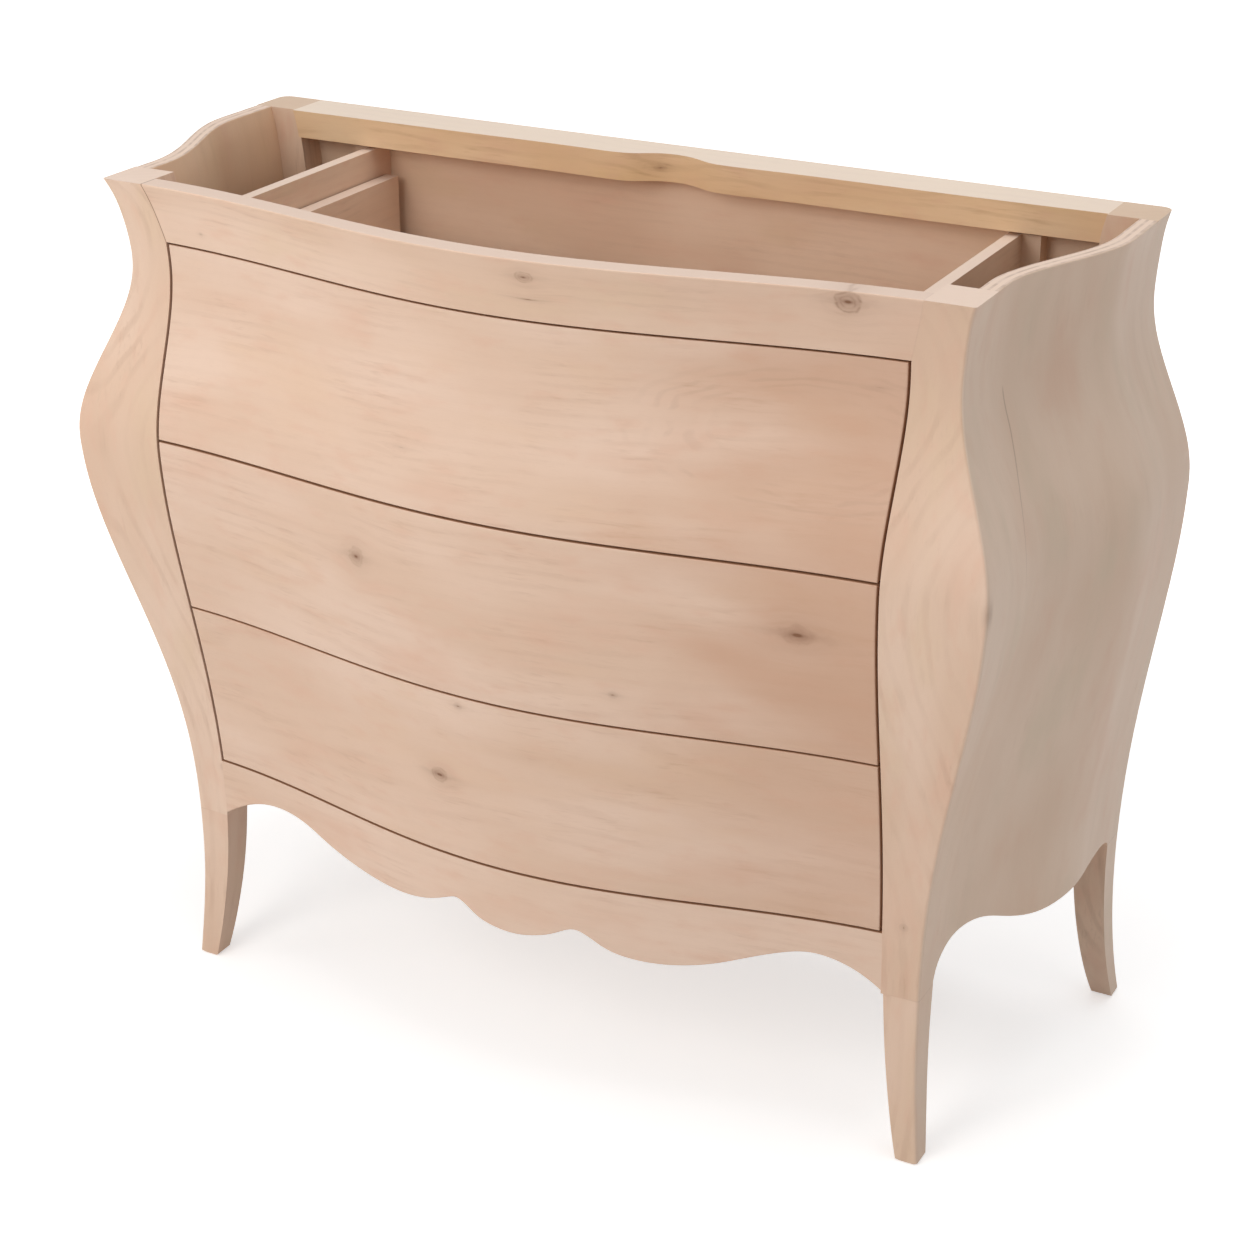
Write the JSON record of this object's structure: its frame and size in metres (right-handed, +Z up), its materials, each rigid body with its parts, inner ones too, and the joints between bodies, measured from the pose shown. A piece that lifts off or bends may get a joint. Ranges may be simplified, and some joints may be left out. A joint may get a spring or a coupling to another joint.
{
  "type": "bombe chest of drawers",
  "caption": "Raw wood bombe chest with swelling front and sides, full-width drawers, shaped apron and slim curved legs, open at the top.",
  "frame": {"origin": "bottom centre of the chest's box, on the floor under the middle of its widest width and of its full depth", "axes": "+Z up, +X to the right of someone who faces the drawers, -Y out of the front towards them"},
  "size_m": [1.0222, 0.4689, 0.83],
  "materials": {
    "front_wood": "raw, sanded, unfinished",
    "side_wood": "raw, sanded, unfinished",
    "post_wood": "raw, sanded, unfinished",
    "rail_wood": "raw, sanded, unfinished",
    "inner_wood": "raw, sawn, unfinished",
    "ply_wood": "raw plywood, unfinished",
    "dowel_wood": "raw, turned",
    "screw_steel": "zinc plated"
  },
  "bodies": {
    "case": {"apron_dowels": "dowel_wood", "back_bottom_rail": "rail_wood", "back_leg_left": "post_wood", "back_leg_right": "post_wood", "back_panel": "ply_wood", "back_post_left": "post_wood", "back_post_right": "post_wood", "back_rail_dowels": "dowel_wood", "back_top_rail": "rail_wood", "cleat_screws": "screw_steel", "drawer_stops": "inner_wood", "front_apron": "front_wood", "front_leg_left": "post_wood", "front_leg_right": "post_wood", "front_post_left": "post_wood", "front_post_right": "post_wood", "front_rail_dowels": "dowel_wood", "front_top_rail": "front_wood", "guide_board_left": "inner_wood", "guide_board_right": "inner_wood", "guide_cleat_left": "inner_wood", "guide_cleat_right": "inner_wood", "guide_spacers_left": "inner_wood", "guide_spacers_right": "inner_wood", "leg_dowels": "dowel_wood", "runner_bottom_left": "inner_wood", "runner_bottom_right": "inner_wood", "runner_middle_left": "inner_wood", "runner_middle_right": "inner_wood", "runner_screws": "screw_steel", "runner_top_left": "inner_wood", "runner_top_right": "inner_wood", "side_panel_left": "side_wood", "side_panel_right": "side_wood"},
    "drawer_bottom": {"drawer_bottom_back": "inner_wood", "drawer_bottom_bottom": "ply_wood", "drawer_bottom_dowels": "dowel_wood", "drawer_bottom_front": "front_wood", "drawer_bottom_side_left": "inner_wood", "drawer_bottom_side_right": "inner_wood"},
    "drawer_middle": {"drawer_middle_back": "inner_wood", "drawer_middle_bottom": "ply_wood", "drawer_middle_dowels": "dowel_wood", "drawer_middle_front": "front_wood", "drawer_middle_side_left": "inner_wood", "drawer_middle_side_right": "inner_wood"},
    "drawer_top": {"drawer_top_back": "inner_wood", "drawer_top_bottom": "ply_wood", "drawer_top_dowels": "dowel_wood", "drawer_top_front": "front_wood", "drawer_top_side_left": "inner_wood", "drawer_top_side_right": "inner_wood"}
  },
  "joints": [
    {"name": "drawer_bottom_slide", "type": "slide", "parent": "case", "child": "drawer_bottom", "axis": [0, -1, 0], "range_m": [0, 0.26]},
    {"name": "drawer_middle_slide", "type": "slide", "parent": "case", "child": "drawer_middle", "axis": [0, -1, 0], "range_m": [0, 0.26]},
    {"name": "drawer_top_slide", "type": "slide", "parent": "case", "child": "drawer_top", "axis": [0, -1, 0], "range_m": [0, 0.26]}
  ]
}
